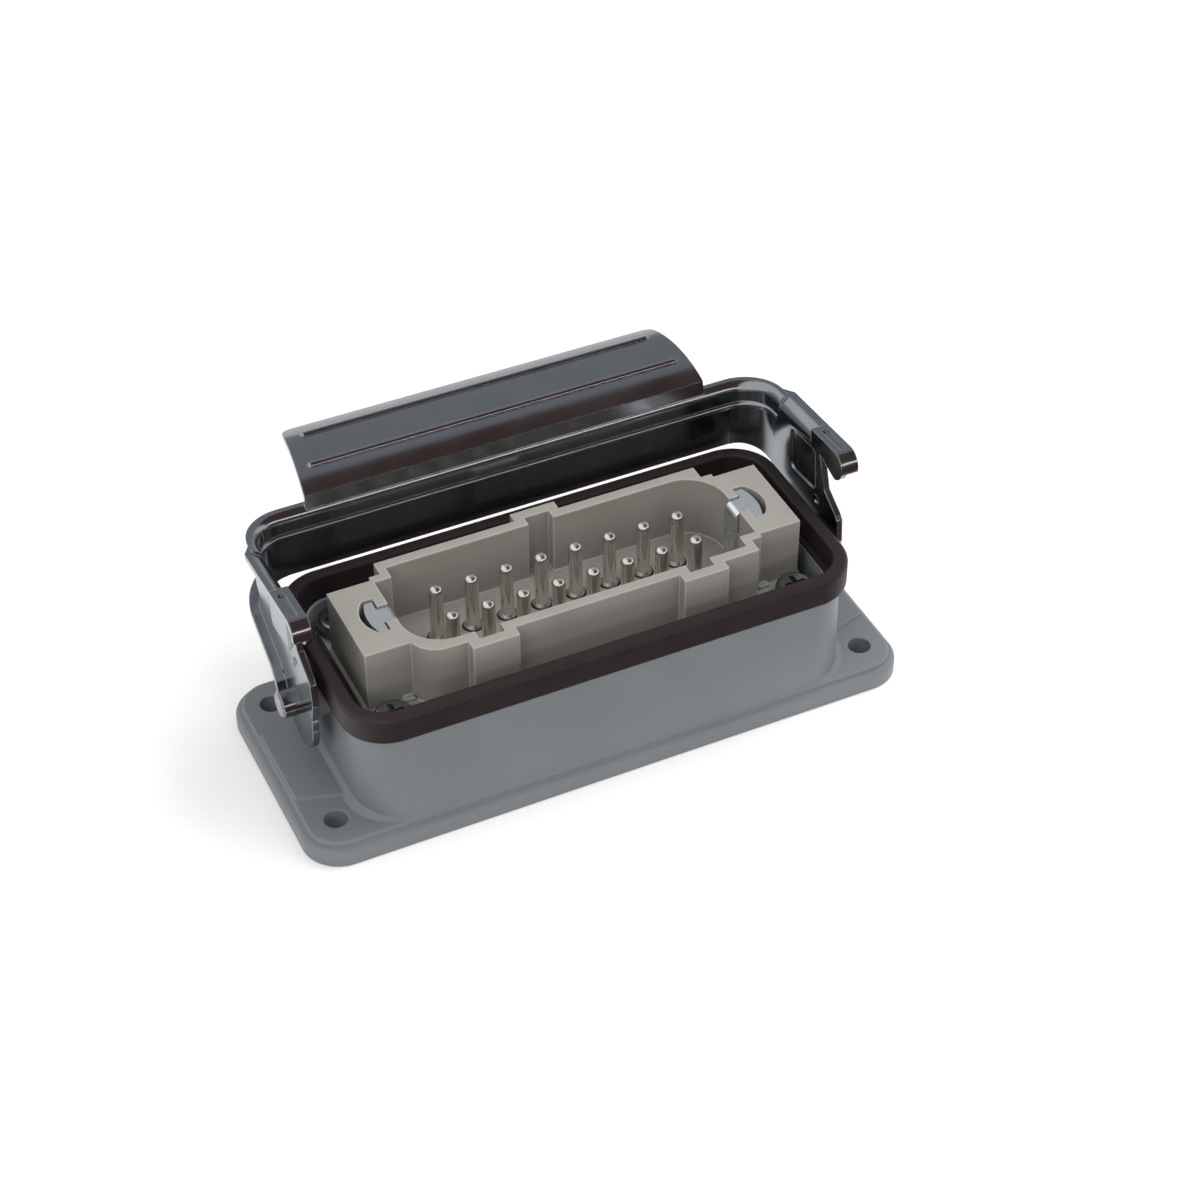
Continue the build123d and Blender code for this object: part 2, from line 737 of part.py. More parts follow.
with BuildPart() as lever_flat:
    # bar and corners: upright band whose upper edge flares outward
    with BuildLine() as band_path:
        Line((arm_inner_x, flare_end_v, bar_low), (arm_inner_x, bend_v, bar_low))
        RadiusArc((arm_inner_x, bend_v, bar_low), (straight_x, bar_inner_y, bar_low), -corner_in_r)
        Line((straight_x, bar_inner_y, bar_low), (-straight_x, bar_inner_y, bar_low))
        RadiusArc((-straight_x, bar_inner_y, bar_low), (-arm_inner_x, bend_v, bar_low), -corner_in_r)
        Line((-arm_inner_x, bend_v, bar_low), (-arm_inner_x, flare_end_v, bar_low))
    band_plane = Plane(origin=(arm_inner_x, flare_end_v, rim_top_w), x_dir=(1, 0, 0), z_dir=(0, -1, 0))
    with BuildSketch(band_plane):
        with BuildLine():
            Polyline((0, -bar_flare), (0, -bar_height), (sheet, -bar_height), (sheet, -bar_flare))
            CenterArc((bar_flare, -bar_flare), bar_flare - sheet, 180, -90)
            Line((bar_flare, -sheet), (bar_flare, 0))
            CenterArc((bar_flare, -bar_flare), bar_flare, 180, -90)
        make_face()
    sweep(path=band_path.wires()[0])
    # skirt of the corners, which slopes down from the bar to the arms
    with BuildSketch(Plane.XY.offset(foot_w - sheet)):
        RectangleRounded(2 * arm_outer_x, 2 * bar_outer_y, corner_in_r + sheet)
        RectangleRounded(2 * arm_inner_x, 2 * bar_inner_y, corner_in_r, mode=Mode.SUBTRACT)
        with Locations((0, bend_v - clear_size / 2)):
            Rectangle(clear_size, clear_size, mode=Mode.SUBTRACT)
        Rectangle(2 * straight_x, clear_size, mode=Mode.SUBTRACT)
    extrude(amount=bar_low - foot_w + sheet + 0.2)
    with BuildSketch(Plane.YZ):
        with BuildLine():
            Polyline(
                (bend_v - 0.1, foot_w - 0.05),
                (bar_inner_y + 0.2, bar_low),
                (bar_outer_y + 5, bar_low),
                (bar_outer_y + 5, foot_w - 5),
                (bend_v - 0.1, foot_w - 5),
                close=True,
            )
        make_face()
    extrude(amount=clear_size / 2, both=True, mode=Mode.SUBTRACT)
    add(corner_lip.part)
    for side in (-1, 1):
        # arms: the flare widens behind the bend and runs straight to the finger
        flare_sections = []
        for section_v, flare in ((bend_v, bar_flare), (flare_end_v, arm_flare), (finger_root_v, arm_flare)):
            section_plane = Plane(
                origin=(side * arm_inner_x, section_v, rim_top_w), x_dir=(side, 0, 0), z_dir=(0, -side, 0)
            )
            with BuildSketch(section_plane, mode=Mode.PRIVATE) as flare_section:
                with BuildLine():
                    Polyline(
                        (0, -flare),
                        (0, -arm_flare - flare_stub),
                        (sheet, -arm_flare - flare_stub),
                        (sheet, -flare),
                    )
                    CenterArc((flare, -flare), flare - sheet, 180, -90)
                    Line((flare, -sheet), (flare, 0))
                    CenterArc((flare, -flare), flare, 180, -90)
                make_face()
            flare_sections.append(flare_section.sketch.faces()[0])
        loft(sections=flare_sections, ruled=True)
        # arm plate with hub, stem and hook finger
        arm_plane = Plane(origin=(side * arm_inner_x, 0, 0), x_dir=(0, 1, 0), z_dir=(1, 0, 0))
        with BuildSketch(arm_plane):
            with BuildLine():
                Polyline(
                    (-hub_r, 0),
                    (toe_v, toe_low_w),
                    (toe_v, toe_top_w),
                    (toe_v + 0.6, toe_top_w + 0.9),
                    (mouth_v, mouth_low_w),
                    (stem_v, stem_top_w - stem_bend),
                    (stem_top_v, stem_top_w),
                    (nose_v + 0.2, stem_top_w - 2.2),
                )
                ThreePointArc(
                    (nose_v + 0.2, stem_top_w - 2.2),
                    (nose_front_v, rim_top_w - nose_height + 0.4),
                    (nose_v, rim_top_w),
                )
                Polyline(
                    (nose_v, rim_top_w),
                    (finger_root_v, rim_top_w),
                    (finger_root_v, rim_top_w - arm_flare - flare_stub / 2),
                    (bend_v, rim_top_w - arm_flare - flare_stub / 2),
                    (bend_v, foot_w),
                    (heel_v, heel_w),
                    (0, 0),
                    (-hub_r, 0),
                )
            make_face()
            Circle(hub_r)
            with Locations((hub_r - hub_back_r, -hub_drop / 2)):
                Rectangle(2 * hub_back_r, hub_drop)
            with Locations((hub_r - hub_back_r, -hub_drop)):
                Circle(hub_back_r)
            Circle(pivot_d / 2 + pivot_fit, mode=Mode.SUBTRACT)
        extrude(amount=side * sheet)
        # rim turned outward along the finger and round its nose
        with BuildSketch(arm_plane):
            with BuildLine():
                Polyline((finger_root_v, rim_top_w), (nose_v, rim_top_w))
                ThreePointArc(
                    (nose_v, rim_top_w),
                    (nose_front_v + 0.4, rim_top_w - 1.2),
                    (nose_front_v, rim_top_w - nose_height),
                )
                Polyline(
                    (nose_front_v, rim_top_w - nose_height),
                    (nose_front_v + 1.1, rim_top_w - nose_height),
                )
                ThreePointArc(
                    (nose_front_v + 1.1, rim_top_w - nose_height),
                    (nose_front_v + 1.3, rim_top_w - 2.0),
                    (nose_v, rim_top_w - sheet),
                )
                Polyline(
                    (nose_v, rim_top_w - sheet),
                    (finger_root_v, rim_top_w - sheet),
                    (finger_root_v, rim_top_w),
                )
            make_face()
        extrude(amount=side * arm_flare)
        # lip turned outward along the back edge, down to the hub
        with BuildSketch(arm_plane):
            with BuildLine():
                Polyline(
                    (bend_v, foot_w),
                    (heel_v, heel_w),
                    (heel_end_v, heel_end_w),
                    (hub_r, -hub_drop),
                    (hub_r - sheet, -hub_drop),
                    (lip_end_v, 0),
                    (lip_bend_v, lip_bend_w),
                    (bend_v, foot_w + sheet),
                    close=True,
                )
            make_face()
        extrude(amount=side * (sheet + lip_reach))
        # panel and dimple pressed outward in the arm, and groove in the top of the finger
        press_plane = Plane(origin=(side * arm_inner_x, 0, 0), x_dir=(0, side, 0), z_dir=(side, 0, 0))
        with BuildSketch(press_plane.offset(sheet)):
            with Locations((side * panel_v, panel_w)):
                RectangleRounded(panel_length, panel_height, panel_corner_r)
            with Locations((side * dimple_v, dimple_w)):
                Circle(dimple_r)
        extrude(amount=panel_depth, taper=40)
        with BuildSketch(press_plane):
            with Locations((side * panel_v, panel_w)):
                RectangleRounded(panel_length, panel_height, panel_corner_r)
            with Locations((side * dimple_v, dimple_w)):
                Circle(dimple_r)
        extrude(amount=panel_depth, taper=40, mode=Mode.SUBTRACT)
        with BuildSketch(Plane.XY.offset(rim_top_w)):
            with Locations((side * (arm_inner_x + arm_flare / 2 + 0.2), nose_v + groove_length / 2)):
                SlotOverall(groove_length, groove_w, rotation=90)
        extrude(amount=-groove_depth, mode=Mode.SUBTRACT)
    # crease pressed inward along the bar and round both corners
    with BuildLine() as crease_path:
        Line((arm_inner_x, crease_end_v, crease_w), (arm_inner_x, bend_v, crease_w))
        RadiusArc((arm_inner_x, bend_v, crease_w), (straight_x, bar_inner_y, crease_w), -corner_in_r)
        Line((straight_x, bar_inner_y, crease_w), (-straight_x, bar_inner_y, crease_w))
        RadiusArc((-straight_x, bar_inner_y, crease_w), (-arm_inner_x, bend_v, crease_w), -corner_in_r)
        Line((-arm_inner_x, bend_v, crease_w), (-arm_inner_x, crease_end_v, crease_w))
    crease_plane = Plane(origin=(arm_inner_x, crease_end_v, crease_w), x_dir=(1, 0, 0), z_dir=(0, -1, 0))
    with BuildSketch(crease_plane):
        with Locations((crease_sunk, 0)):
            Circle(crease_r)
    sweep(path=crease_path.wires()[0])
    with BuildSketch(crease_plane):
        with Locations((sheet + crease_sunk, 0)):
            Circle(crease_r)
    sweep(path=crease_path.wires()[0], mode=Mode.SUBTRACT)

# handle: climbs from the bar and curves over to the back
with BuildPart() as handle:
    with BuildSketch(Plane.YZ):
        with BuildLine():
            root_v = handle_axis_v - bar_inner_y - handle_root_inset
            under_v = handle_axis_v - bar_outer_y - handle_root_inset
            end_v = handle_end_v - handle_axis_v
            root_w = handle_axis_w + (handle_r ** 2 - root_v ** 2) ** 0.5
            under_w = handle_axis_w + (handle_under_r ** 2 - under_v ** 2) ** 0.5
            end_w = handle_axis_w + (handle_r ** 2 - end_v ** 2) ** 0.5
            end_under_w = handle_axis_w + (handle_under_r ** 2 - end_v ** 2) ** 0.5
            RadiusArc((handle_axis_v - root_v, root_w), (handle_end_v, end_w), handle_r)
            Line((handle_end_v, end_w), (handle_end_v, end_under_w))
            RadiusArc((handle_end_v, end_under_w), (handle_axis_v - under_v, under_w), -handle_under_r)
            Polyline(
                (handle_axis_v - under_v, under_w),
                (bar_outer_y, rim_top_w - bar_flare),
                (bar_inner_y + 0.3, rim_top_w - bar_flare),
                (handle_axis_v - root_v, root_w),
            )
        make_face()
    extrude(amount=handle_half, both=True)
    # the handle narrows towards its free edge, which has round corners
    with BuildSketch(Plane.XY) as handle_plan:
        with BuildLine():
            Polyline(
                (-handle_half, bar_inner_y),
                (-handle_half, bar_outer_y),
                (-handle_half + handle_narrowing, handle_end_v),
                (handle_half - handle_narrowing, handle_end_v),
                (handle_half, bar_outer_y),
                (handle_half, bar_inner_y),
                close=True,
            )
        make_face()
        fillet(handle_plan.vertices().group_by(Axis.Y)[-1], handle_corner_r)
    extrude(amount=clear_size, mode=Mode.INTERSECT)
    # two beads pressed upward across the handle, each with a groove under it
    beads = (
        (front_bead_angle, handle_half - front_bead_inset),
        (back_bead_angle, handle_half - back_bead_inset),
    )
    for bead_angle, bead_half in beads:
        for radius, bead_mode in ((handle_r, Mode.ADD), (handle_under_r, Mode.SUBTRACT)):
            bead_v = handle_axis_v + (radius - bead_sunk) * sin(radians(bead_angle))
            bead_w = handle_axis_w + (radius - bead_sunk) * cos(radians(bead_angle))
            with Locations((0, bead_v, bead_w)):
                Cylinder(bead_r, 2 * bead_half, rotation=(0, 90, 0), mode=bead_mode)
            with Locations((-bead_half, bead_v, bead_w), (bead_half, bead_v, bead_w)):
                Sphere(bead_r, mode=bead_mode)

with BuildPart() as lever:
    add(lever_flat.part.moved(Pos(0, 0, pivot_z) * Rot(-lever_tilt, 0, 0)))
    add(handle.part.moved(Pos(0, 0, pivot_z) * Rot(-lever_tilt, 0, 0)))
lever.part.label = "lever"

export_step(housing.part, "parts/housing.step")
export_step(rim_gasket.part, "parts/rim_gasket.step")
export_step(panel_gasket.part, "parts/panel_gasket.step")
export_step(insert_body.part, "parts/insert_body.step")
export_step(terminal_block.part, "parts/terminal_block.step")
export_step(terminal_screws.part, "parts/terminal_screws.step")
export_step(insert_screws.part, "parts/insert_screws.step")
export_step(earth_screws.part, "parts/earth_screws.step")
export_step(lever.part, "parts/lever.step")
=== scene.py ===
"""Sixteen pole heavy duty rectangular connector: bulkhead housing, male insert and locking lever.

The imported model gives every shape. This script deepens the two clip recesses of the insert,
gives each part its finish, and builds a plain pale studio round it.
"""

import math

import bmesh
import bpy
import numpy as np
from mathutils import Matrix, Vector


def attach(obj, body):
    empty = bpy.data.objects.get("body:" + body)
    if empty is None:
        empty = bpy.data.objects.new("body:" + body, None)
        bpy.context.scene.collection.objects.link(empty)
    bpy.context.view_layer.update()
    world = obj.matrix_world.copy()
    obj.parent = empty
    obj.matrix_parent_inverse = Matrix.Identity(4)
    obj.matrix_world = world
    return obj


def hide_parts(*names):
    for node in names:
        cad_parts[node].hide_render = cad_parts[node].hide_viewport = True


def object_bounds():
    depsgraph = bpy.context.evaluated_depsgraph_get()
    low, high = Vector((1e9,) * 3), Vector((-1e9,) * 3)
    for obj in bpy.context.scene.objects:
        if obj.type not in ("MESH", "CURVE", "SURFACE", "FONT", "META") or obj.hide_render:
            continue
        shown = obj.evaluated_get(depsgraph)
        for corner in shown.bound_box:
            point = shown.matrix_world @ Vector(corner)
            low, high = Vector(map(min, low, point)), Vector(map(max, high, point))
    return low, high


# one millimetre in Blender's metres
MM = 0.001

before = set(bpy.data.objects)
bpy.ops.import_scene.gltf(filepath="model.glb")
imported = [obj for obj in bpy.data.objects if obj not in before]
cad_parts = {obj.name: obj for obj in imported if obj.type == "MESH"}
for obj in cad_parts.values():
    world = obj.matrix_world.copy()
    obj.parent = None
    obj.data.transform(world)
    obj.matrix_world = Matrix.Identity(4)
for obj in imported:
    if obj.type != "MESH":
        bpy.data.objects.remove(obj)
cad_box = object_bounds()


# Camera: its place in millimetres, its turns in degrees, its lens in pixels of the photograph

PHOTO_WIDTH = 1200.0
CAMERA_PLACE = (-147.43, -326.80, 335.20)
CAMERA_AZIMUTH = -25.23
CAMERA_ELEVATION = 41.45
CAMERA_ROLL = -0.25
FOCAL_PIXELS = 2677.57
CENTRE_PIXELS = (600.98, 615.98)
SENSOR_WIDTH = 36.0
NEAREST_SEEN = 10.0
FARTHEST_SEEN = 20000.0


def make_camera():
    """A camera at the photograph's viewpoint, with its focal length worked out from pixels."""
    data = bpy.data.cameras.new("photo_camera")
    data.sensor_width = SENSOR_WIDTH
    data.lens = FOCAL_PIXELS / PHOTO_WIDTH * SENSOR_WIDTH
    data.shift_x = 0.5 - CENTRE_PIXELS[0] / PHOTO_WIDTH
    data.shift_y = CENTRE_PIXELS[1] / PHOTO_WIDTH - 0.5
    data.clip_start = NEAREST_SEEN * MM
    data.clip_end = FARTHEST_SEEN * MM
    camera = bpy.data.objects.new("photo_camera", data)
    bpy.context.collection.objects.link(camera)
    tilt = Matrix.Rotation(math.radians(90.0 - CAMERA_ELEVATION), 4, "X")
    turn = Matrix.Rotation(math.radians(CAMERA_AZIMUTH), 4, "Z")
    roll = Matrix.Rotation(math.radians(CAMERA_ROLL), 4, "Z")
    place = Matrix.Translation([c * MM for c in CAMERA_PLACE])
    camera.matrix_world = place @ turn @ tilt @ roll
    bpy.context.scene.camera = camera


# Materials

# nearly all of a noise's values lie between these two
NOISE_LOW = 0.3
NOISE_HIGH = 0.7


def srgb(hex_colour):
    """An sRGB hex colour as linear red, green, blue and alpha."""
    parts = [int(hex_colour[i : i + 2], 16) / 255.0 for i in (1, 3, 5)]
    linear = [p / 12.92 if p <= 0.04045 else ((p + 0.055) / 1.055) ** 2.4 for p in parts]
    return (*linear, 1.0)


def add_node(tree, kind, settings=None, **inputs):
    """Adds one node, with its settings, and gives each named socket a value or a link.

    A socket's name has low lines for its spaces, and _0 or _1 is a socket by its number.
    """
    node = tree.nodes.new(kind)
    for name, value in (settings or {}).items():
        setattr(node, name, value)
    for name, value in inputs.items():
        socket = node.inputs[int(name[1:])] if name[1:].isdigit() else node.inputs[name.replace("_", " ")]
        if isinstance(value, bpy.types.NodeSocket):
            tree.links.new(value, socket)
        else:
            socket.default_value = value
    return node


def new_material(name):
    """An empty node material, its tree and its output node."""
    material = bpy.data.materials.new(name)
    material.use_nodes = True
    tree = material.node_tree
    tree.nodes.clear()
    output = tree.nodes.new("ShaderNodeOutputMaterial")
    return material, tree, output


def per_mm(size_mm):
    """The noise scale at which one lump is size_mm across, on coordinates in metres."""
    return 1.0 / (size_mm * MM)


def tone_and_gloss(tree, tone_noise, dark, light, gloss_noise, smoothest, dullest):
    """A colour that one noise leads between two tones, and a roughness that another leads."""
    colour = add_node(
        tree,
        "ShaderNodeMixRGB",
        Fac=tone_noise.outputs["Fac"],
        Color1=srgb(dark),
        Color2=srgb(light),
    )
    gloss = add_node(
        tree,
        "ShaderNodeMapRange",
        Value=gloss_noise.outputs["Fac"],
        From_Min=NOISE_LOW,
        From_Max=NOISE_HIGH,
        To_Min=smoothest,
        To_Max=dullest,
    )
    return colour, gloss


def paint_edge_highlight(tree, edges, colour, pale, round_cosine, flat_cosine, most):
    """A painted highlight: a colour that turns pale round an edge, where the bevelled and the flat normal
    part.

    The share of the pale colour goes from most, at the first cosine between the two
    normals, down to none at the second.
    """
    surface = add_node(tree, "ShaderNodeNewGeometry")
    flatness = add_node(
        tree,
        "ShaderNodeVectorMath",
        {"operation": "DOT_PRODUCT"},
        _0=edges.outputs["Normal"],
        _1=surface.outputs["True Normal"],
    )
    # painted highlight: the share of the pale colour that makes the edges look lit
    highlight_share = add_node(
        tree,
        "ShaderNodeMapRange",
        Value=flatness.outputs["Value"],
        From_Min=round_cosine,
        From_Max=flat_cosine,
        To_Min=most,
        To_Max=0.0,
    )
    return add_node(
        tree,
        "ShaderNodeMixRGB",
        Fac=highlight_share.outputs["Result"],
        Color1=colour.outputs["Color"],
        Color2=srgb(pale),
    )


def powder_coated_casting():
    """Aluminium die casting under a grey powder coat.

    The eye sees a soft even sheen over a fine orange peel, and small round edges with a
    painted highlight along them.
    """
    material, tree, output = new_material("powder_coated_casting")
    place = add_node(tree, "ShaderNodeTexCoord")
    peel = add_node(
        tree, "ShaderNodeTexNoise", Vector=place.outputs["Object"], Scale=per_mm(0.9), Detail=2.0
    )
    # powder grains of about 0.05 mm, drawn at 0.25 mm so that they show
    speck = add_node(
        tree, "ShaderNodeTexNoise", Vector=place.outputs["Object"], Scale=per_mm(0.25), Detail=1.0
    )
    clouds = add_node(
        tree, "ShaderNodeTexNoise", Vector=place.outputs["Object"], Scale=per_mm(24.0), Detail=2.0
    )
    colour, gloss = tone_and_gloss(tree, clouds, "#72787C", "#7E8488", peel, 0.4, 0.5)
    edges = add_node(tree, "ShaderNodeBevel", {"samples": 6}, Radius=0.5 * MM)
    # painted highlight: every edge of the casting is drawn paler, as if lit
    edge_highlighted = paint_edge_highlight(tree, edges, colour, "#A9AEB2", 0.75, 0.98, 0.5)
    peeled = add_node(
        tree,
        "ShaderNodeBump",
        Strength=0.22,
        Distance=0.03 * MM,
        Height=peel.outputs["Fac"],
        Normal=edges.outputs["Normal"],
    )
    grainy = add_node(
        tree,
        "ShaderNodeBump",
        Strength=0.3,
        Distance=0.012 * MM,
        Height=speck.outputs["Fac"],
        Normal=peeled.outputs["Normal"],
    )
    shader = add_node(
        tree,
        "ShaderNodeBsdfPrincipled",
        Base_Color=edge_highlighted.outputs["Color"],
        Roughness=gloss.outputs["Result"],
        IOR=1.5,
        Normal=grainy.outputs["Normal"],
    )
    tree.links.new(shader.outputs["BSDF"], output.inputs["Surface"])
    return material


def nitrile_rubber():
    """Moulded nitrile rubber.

    The eye sees a brown black, nearly matt skin with a dusty bloom in its pores.
    """
    material, tree, output = new_material("nitrile_rubber")
    place = add_node(tree, "ShaderNodeTexCoord")
    # pores of about 0.1 mm, drawn at 0.35 mm so that they show
    pores = add_node(
        tree, "ShaderNodeTexNoise", Vector=place.outputs["Object"], Scale=per_mm(0.35), Detail=3.0
    )
    bloom = add_node(
        tree, "ShaderNodeTexNoise", Vector=place.outputs["Object"], Scale=per_mm(7.0), Detail=3.0
    )
    colour, gloss = tone_and_gloss(tree, bloom, "#1E1415", "#2B2021", bloom, 0.5, 0.64)
    edges = add_node(tree, "ShaderNodeBevel", {"samples": 6}, Radius=0.5 * MM)
    skin = add_node(
        tree,
        "ShaderNodeBump",
        Strength=0.3,
        Distance=0.02 * MM,
        Height=pores.outputs["Fac"],
        Normal=edges.outputs["Normal"],
    )
    shader = add_node(
        tree,
        "ShaderNodeBsdfPrincipled",
        Base_Color=colour.outputs["Color"],
        Roughness=gloss.outputs["Result"],
        IOR=1.52,
        Normal=skin.outputs["Normal"],
    )
    tree.links.new(shader.outputs["BSDF"], output.inputs["Surface"])
    return material


def glass_filled_polycarbonate():
    """Injection moulded polycarbonate with glass fibre in it.

    The eye sees a stone grey with a faint fibre mottle, a satin skin and small round edges
    with a painted highlight along them.
    """
    material, tree, output = new_material("glass_filled_polycarbonate")
    place = add_node(tree, "ShaderNodeTexCoord")
    fibres = add_node(
        tree,
        "ShaderNodeTexNoise",
        Vector=place.outputs["Object"],
        Scale=per_mm(0.5),
        Detail=3.0,
        Roughness=0.6,
    )
    flow = add_node(
        tree, "ShaderNodeTexNoise", Vector=place.outputs["Object"], Scale=per_mm(9.0), Detail=2.0
    )
    colour, gloss = tone_and_gloss(tree, flow, "#918E88", "#A19E98", fibres, 0.4, 0.52)
    edges = add_node(tree, "ShaderNodeBevel", {"samples": 8}, Radius=0.6 * MM)
    # painted highlight: every edge of the moulding is drawn paler, as if lit
    edge_highlighted = paint_edge_highlight(tree, edges, colour, "#C9C7C2", 0.8, 0.99, 0.9)
    skin = add_node(
        tree,
        "ShaderNodeBump",
        Strength=0.2,
        Distance=0.015 * MM,
        Height=fibres.outputs["Fac"],
        Normal=edges.outputs["Normal"],
    )
    shader = add_node(
        tree,
        "ShaderNodeBsdfPrincipled",
        Base_Color=edge_highlighted.outputs["Color"],
        Roughness=gloss.outputs["Result"],
        IOR=1.58,
        Normal=skin.outputs["Normal"],
    )
    tree.links.new(shader.outputs["BSDF"], output.inputs["Surface"])
    return material


def black_nickel_steel():
    """Pressed sheet steel under black nickel plate.

    The eye sees a smoky grey mirror, with faint rolling lines along the bar and a slight haze.
    """
    material, tree, output = new_material("black_nickel_steel")
    place = add_node(tree, "ShaderNodeTexCoord")
    along_bar = add_node(
        tree, "ShaderNodeMapping", Vector=place.outputs["Object"], Scale=(0.06, 1.0, 1.0)
    )
    rolling = add_node(
        tree,
        "ShaderNodeTexNoise",
        Vector=along_bar.outputs["Vector"],
        Scale=per_mm(0.8),
        Detail=2.0,
    )
    haze = add_node(
        tree, "ShaderNodeTexNoise", Vector=place.outputs["Object"], Scale=per_mm(9.0), Detail=2.0
    )
    colour, gloss = tone_and_gloss(tree, haze, "#888D91", "#999EA2", haze, 0.15, 0.22)
    edges = add_node(tree, "ShaderNodeBevel", {"samples": 8}, Radius=0.3 * MM)
    skin = add_node(
        tree,
        "ShaderNodeBump",
        Strength=0.15,
        Distance=0.005 * MM,
        Height=rolling.outputs["Fac"],
        Normal=edges.outputs["Normal"],
    )
    shader = add_node(
        tree,
        "ShaderNodeBsdfPrincipled",
        Base_Color=colour.outputs["Color"],
        Metallic=1.0,
        Roughness=gloss.outputs["Result"],
        Normal=skin.outputs["Normal"],
    )
    tree.links.new(shader.outputs["BSDF"], output.inputs["Surface"])
    return material


def worked_metal(name, dark, light, lump_mm, smoothest, dullest, edge_mm):
    """A bare or plated metal whose colour and gloss vary a little, with small round edges.

    It is the common recipe of the four bright metals below, which differ in their numbers.
    A turned piece that is round all over has no edges to soften, and an edge_mm of nought.
    """
    material, tree, output = new_material(name)
    place = add_node(tree, "ShaderNodeTexCoord")
    lumps = add_node(
        tree, "ShaderNodeTexNoise", Vector=place.outputs["Object"], Scale=per_mm(lump_mm), Detail=2.0
    )
    colour, gloss = tone_and_gloss(tree, lumps, dark, light, lumps, smoothest, dullest)
    shader = add_node(
        tree,
        "ShaderNodeBsdfPrincipled",
        Base_Color=colour.outputs["Color"],
        Metallic=1.0,
        Roughness=gloss.outputs["Result"],
    )
    if edge_mm:
        edges = add_node(tree, "ShaderNodeBevel", {"samples": 6}, Radius=edge_mm * MM)
        tree.links.new(edges.outputs["Normal"], shader.inputs["Normal"])
    tree.links.new(shader.outputs["BSDF"], output.inputs["Surface"])
    return material


def silver_plated_brass():
    """Turned brass under silver plate: the eye sees a pale warm metal, bright on the domes."""
    return worked_metal("silver_plated_brass", "#D0CCC6", "#E2DFDA", 2.0, 0.2, 0.28, 0.0)


def tinned_spring_strip():
    """Spring bronze strip under tin: the eye sees an even, cool and satin pale grey."""
    return worked_metal("tinned_spring_strip", "#E2ECF0", "#F2F7F9", 1.5, 0.24, 0.3, 0.12)


def zinc_plated_steel():
    """Steel screws under blue zinc plate: the eye sees a cool and slightly cloudy grey."""
    return worked_metal("zinc_plated_steel", "#8E9294", "#A3A7A9", 1.0, 0.25, 0.38, 0.12)


def turned_steel():
    """A bare turned steel pin: the eye sees a smooth grey mirror with long highlights."""
    return worked_metal("turned_steel", "#7A7D7F", "#8A8D8F", 1.2, 0.12, 0.2, 0.2)


# Insert body with its clip recesses at full depth, in millimetres and degrees

CLIP_RECESS_DEPTH = 1.2
CLIP_BEND_ROOM = 0.7
RECESS_DEEPER = 3.4
LEVEL_MATCH = 0.02
MERGE_GAP = 0.001
FACET_TURN = 30.0


def deepen_clip_recesses():
    """The upper moulding with dark, deep recesses round its two earth clips.

    It is a merged copy of the CAD moulding. Each point on the floor of a recess, or on the floor
    of the room under the clip's bend, goes straight down by one distance, and its walls follow.
    """
    merged = bmesh.new()
    merged.from_mesh(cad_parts["insert_body"].data)
    bmesh.ops.remove_doubles(merged, verts=merged.verts, dist=MERGE_GAP * MM)
    copy = bpy.data.meshes.new("merged_copy")
    merged.to_mesh(copy)
    merged.free()
    points = np.empty(3 * len(copy.vertices))
    copy.vertices.foreach_get("co", points)
    points = points.reshape(-1, 3)
    corners = np.empty(len(copy.loops), dtype=int)
    copy.loops.foreach_get("vertex_index", corners)
    bpy.data.meshes.remove(copy)
    depth = (points[:, 2].max() - points[:, 2]) / MM
    on_floor = np.abs(depth - CLIP_RECESS_DEPTH) < LEVEL_MATCH
    in_room = np.abs(depth - CLIP_RECESS_DEPTH - CLIP_BEND_ROOM) < LEVEL_MATCH
    points[on_floor | in_room, 2] -= RECESS_DEEPER * MM
    mesh = bpy.data.meshes.new("insert_moulding")
    mesh.from_pydata(points.tolist(), [], corners.reshape(-1, 3).tolist())
    mesh.shade_smooth()
    mesh.set_sharp_from_angle(angle=math.radians(FACET_TURN))
    piece = bpy.data.objects.new("insert_moulding", mesh)
    bpy.context.collection.objects.link(piece)
    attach(piece, "base")
    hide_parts("insert_body")
    return piece


# Finish of every part


def give_finish(material, *names):
    """Puts one material on CAD nodes, in place of the plain one that they came with."""
    for name in names:
        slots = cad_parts[name].data.materials
        slots.clear()
        slots.append(material)


def finish_all_parts():
    """Every piece gets the finish of the real one."""
    contacts = [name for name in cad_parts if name.startswith("contact_pin")]
    clips = [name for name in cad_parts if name.startswith("earth_clip")]
    pivots = [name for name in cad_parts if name.startswith("pivot_pin")]
    screws = [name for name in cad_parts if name.endswith("screws")]
    give_finish(powder_coated_casting(), "housing")
    give_finish(nitrile_rubber(), "rim_gasket", "panel_gasket")
    stone_plastic = glass_filled_polycarbonate()
    give_finish(stone_plastic, "terminal_block")
    moulding = deepen_clip_recesses()
    moulding.data.materials.append(stone_plastic)
    give_finish(black_nickel_steel(), "lever")
    give_finish(silver_plated_brass(), *contacts)
    give_finish(tinned_spring_strip(), *clips)
    give_finish(zinc_plated_steel(), *screws)
    give_finish(turned_steel(), *pivots)


# Floor, sky and the cards that the metal mirrors, in metres and degrees

FLOOR_WIDTH = 6.0
FLOOR_GAP = 0.0002
FLOOR_WHITE = "#FAFAFA"
FLOOR_LIFT = 0.16
SKY_STRENGTH = 0.72
HORIZON_TINT = "#8C776B"
ZENITH_TINT = "#FFFFFF"
ZENITH_HEIGHT = 0.8
CARD_RADIUS = 1.6
CARD_LEFT = -0.2
CARD_RIGHT = 2.4
CARD_NEAR_EDGE = 0.03
CARD_GAP = 0.002
CARD_BROWN = "#5C4643"
CARD_GREY = "#A3A5A9"
BROWN_CARD_TOP = 100.0
GREY_CARD_TOP = 165.0
ARC_POINTS = 24


